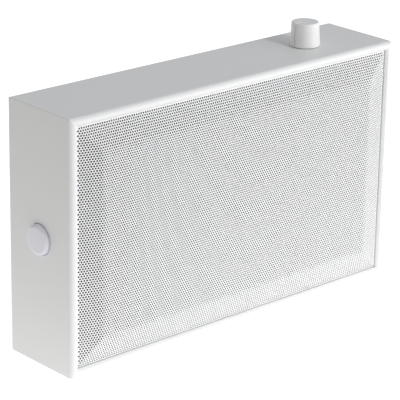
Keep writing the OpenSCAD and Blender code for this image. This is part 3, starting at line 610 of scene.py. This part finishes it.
finish("coil_copper", (0.80, 0.36, 0.20), 0.35, metal=1.0, grain=0.02, size=0.3)
finish("winding_tape", (0.70, 0.52, 0.12), 0.4, grain=0.01, size=1.2, mottle=0.06)
finish("core_steel", (0.22, 0.22, 0.23), 0.5, metal=1.0, grain=0.03, size=0.5,
       stretch=(0.1, 0.1, 1))
finish("shaft_metal", (0.65, 0.64, 0.62), 0.3, metal=1.0, grain=0.004, size=0.3)
finish("brass_nut", (0.72, 0.56, 0.28), 0.35, metal=1.0, grain=0.004, size=0.4)


def coat_with(obj, name):
    """Gives a piece its finish: the material kept in SLOTS under that name."""
    obj.data.materials.clear()
    obj.data.materials.append(SLOTS[name])


# ---------------------------------------------------------------- the pieces
shell = cabinet_shell()
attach(shell, "case")
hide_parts("cabinet")
coat_with(shell, "board_white")

for bay in perforated_bays(GRILLE_BAYS):
    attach(bay, "case")
    coat_with(bay, "grille_white")
rim = grille_rim()
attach(rim, "case")
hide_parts("grille")
coat_with(rim, "grille_white")

cap = knob()
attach(cap, "knob")
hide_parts("volume_knob")
coat_with(cap, "knob_white")

face = button()
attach(face, "button")
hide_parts("button_cap")
coat_with(face, "button_white")

slot_of = {part["node"]: part["material_slot"] for part in frame["record"]["subparts"]}

coil = spring()
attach(coil, "case")
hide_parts("button_spring")
coat_with(coil, slot_of["button_spring"])
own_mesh(coil)

for node, obj in frame["nodes"].items():
    if not obj.hide_render:
        coat_with(obj, slot_of[node])


# ---------------------------------------------------------------- light and floor
# Floor: radius in metres, colour, how bright it looks, and the strength and reach of its bounce
FLOOR_RADIUS = 12.0
FLOOR_COLOUR = (0.75, 0.75, 0.75)
FLOOR_SHOWN = 0.8
FLOOR_BOUNCE = 0.78
BOUNCE_FULL = 0.15
BOUNCE_END = 0.55

# World: colour and level towards the object, and the side on which the level drops
SKY_COLOUR = (0.96, 0.98, 1.0)
WORLD_LEVEL = 0.53
WORLD_DROP = 1.0
DARK_SIDE = (-0.58, -0.8, 0.15)


def look_at(obj, place, target):
    """Puts an object at a place with its -Z axis towards a target, both in metres."""
    direction = np.array(place) - np.array(target)
    back = direction / np.linalg.norm(direction)
    right = np.cross((0, 0, 1), back)
    right /= np.linalg.norm(right)
    up = np.cross(back, right)
    turn = Matrix((right.tolist(), up.tolist(), back.tolist())).transposed().to_4x4()
    obj.matrix_world = Matrix.Translation(place) @ turn


def area_light(name, place, target, width, height, watts, colour=(1, 1, 1)):
    """Rectangular lamp of a size in metres."""
    data = bpy.data.lights.new(name, "AREA")
    data.shape = "RECTANGLE"
    data.size, data.size_y = width, height
    data.energy = watts
    data.color = colour
    lamp = bpy.data.objects.new(name, data)
    bpy.context.scene.collection.objects.link(lamp)
    look_at(lamp, place, target)


def sun_light(name, azimuth, elevation, strength, spread):
    """White distant lamp from an azimuth measured from the front towards +X; all in degrees."""
    data = bpy.data.lights.new(name, "SUN")
    data.energy = strength
    data.angle = math.radians(spread)
    lamp = bpy.data.objects.new(name, data)
    bpy.context.scene.collection.objects.link(lamp)
    a, e = math.radians(azimuth), math.radians(elevation)
    place = (math.sin(a) * math.cos(e), -math.cos(a) * math.cos(e), math.sin(e))
    look_at(lamp, place, (0, 0, 0))


def floor_disc(name, radius):
    """Round floor on z = 0 of a radius in metres: points (r cos a, r sin a, 0) at three radii."""
    profile = np.array([[0.1, 0.0], [radius * 500, 0.0], [radius * 1000, 0.0]])
    points = revolved(profile, ROUND_STEPS).reshape(-1, 3)
    return mesh_from(name, points, [ring_quads(3, ROUND_STEPS)[:, ::-1]])


def node_math(tree, operation, a, b):
    """Math node of two values, each a number or a socket."""
    node = tree.nodes.new("ShaderNodeMath")
    node.operation = operation
    for socket, value in zip(node.inputs, (a, b)):
        if isinstance(value, (int, float)):
            socket.default_value = value
        else:
            tree.links.new(value, socket)
    return node.outputs[0]


def white_floor():
    """White floor that scatters light, shows bright to the camera and throws light back up.

    The light it throws back is full up to BOUNCE_FULL from the middle and fades by a smooth step to
    nothing at BOUNCE_END, so that the lower part of each side is the brighter one.
    """
    mat = bpy.data.materials.new("floor_white")
    mat.use_nodes = True
    tree = mat.node_tree
    tree.nodes.clear()
    diffuse = tree.nodes.new("ShaderNodeBsdfDiffuse")
    diffuse.inputs["Color"].default_value = (*FLOOR_COLOUR, 1)
    place = tree.nodes.new("ShaderNodeTexCoord")
    length = tree.nodes.new("ShaderNodeVectorMath")
    length.operation = "LENGTH"
    tree.links.new(place.outputs["Object"], length.inputs[0])
    fade = tree.nodes.new("ShaderNodeMapRange")
    fade.interpolation_type = "SMOOTHSTEP"
    fade.inputs["From Min"].default_value = BOUNCE_FULL
    fade.inputs["From Max"].default_value = BOUNCE_END
    fade.inputs["To Min"].default_value = FLOOR_BOUNCE
    fade.inputs["To Max"].default_value = 0.0
    tree.links.new(length.outputs["Value"], fade.inputs["Value"])
    ray = tree.nodes.new("ShaderNodeLightPath").outputs
    seen = node_math(tree, "MAXIMUM", ray["Is Camera Ray"], ray["Is Glossy Ray"])
    seen = node_math(tree, "MAXIMUM", seen, ray["Is Transmission Ray"])
    unseen = node_math(tree, "SUBTRACT", 1.0, seen)
    bounce = node_math(tree, "MULTIPLY", unseen, fade.outputs["Result"])
    shown = node_math(tree, "MULTIPLY", seen, FLOOR_SHOWN)
    glow = tree.nodes.new("ShaderNodeEmission")
    tree.links.new(node_math(tree, "ADD", bounce, shown), glow.inputs["Strength"])
    both = tree.nodes.new("ShaderNodeAddShader")
    tree.links.new(diffuse.outputs[0], both.inputs[0])
    tree.links.new(glow.outputs[0], both.inputs[1])
    out = tree.nodes.new("ShaderNodeOutputMaterial")
    tree.links.new(both.outputs[0], out.inputs["Surface"])
    return mat


def studio_world():
    """World that is white to the camera and dim to the object, and darker towards the front left.

    Its level is WORLD_LEVEL * (1 - WORLD_DROP * c^2), with c the direction's product with DARK_SIDE
    and nothing taken off where c is below zero.
    """
    world = bpy.data.worlds.new("studio")
    bpy.context.scene.world = world
    world.use_nodes = True
    tree = world.node_tree
    tree.nodes.clear()
    place = tree.nodes.new("ShaderNodeTexCoord")
    dot = tree.nodes.new("ShaderNodeVectorMath")
    dot.operation = "DOT_PRODUCT"
    dot.inputs[1].default_value = DARK_SIDE
    tree.links.new(place.outputs["Generated"], dot.inputs[0])
    facing = node_math(tree, "MAXIMUM", dot.outputs["Value"], 0.0)
    facing = node_math(tree, "POWER", facing, 2.0)
    drop = node_math(tree, "MULTIPLY", facing, WORLD_DROP)
    level = node_math(tree, "MULTIPLY", node_math(tree, "SUBTRACT", 1.0, drop), WORLD_LEVEL)
    ray = tree.nodes.new("ShaderNodeLightPath").outputs
    seen = node_math(tree, "MAXIMUM", ray["Is Camera Ray"], ray["Is Transmission Ray"])
    sky = tree.nodes.new("ShaderNodeBackground")
    sky.inputs["Color"].default_value = (*SKY_COLOUR, 1)
    tree.links.new(level, sky.inputs["Strength"])
    white = tree.nodes.new("ShaderNodeBackground")
    white.inputs["Color"].default_value = (1, 1, 1, 1)
    both = tree.nodes.new("ShaderNodeMixShader")
    tree.links.new(seen, both.inputs[0])
    tree.links.new(sky.outputs[0], both.inputs[1])
    tree.links.new(white.outputs[0], both.inputs[2])
    out = tree.nodes.new("ShaderNodeOutputWorld")
    tree.links.new(both.outputs[0], out.inputs["Surface"])


sun_light("key", azimuth=4, elevation=26, strength=1.26, spread=14)
area_light("right_fill", (0.7, -0.85, 0.3), (0.1, 0, 0.09), width=0.6, height=0.5, watts=4.3)
area_light("left_fill", (-1.7, 0.35, 0.18), (-0.15, 0, 0.05), width=1.0, height=0.7, watts=3.4,
           colour=(1.0, 0.89, 0.76))
floor = floor_disc("floor", FLOOR_RADIUS)
floor.data.materials.append(white_floor())
studio_world()

bpy.context.scene.view_settings.view_transform = "Standard"
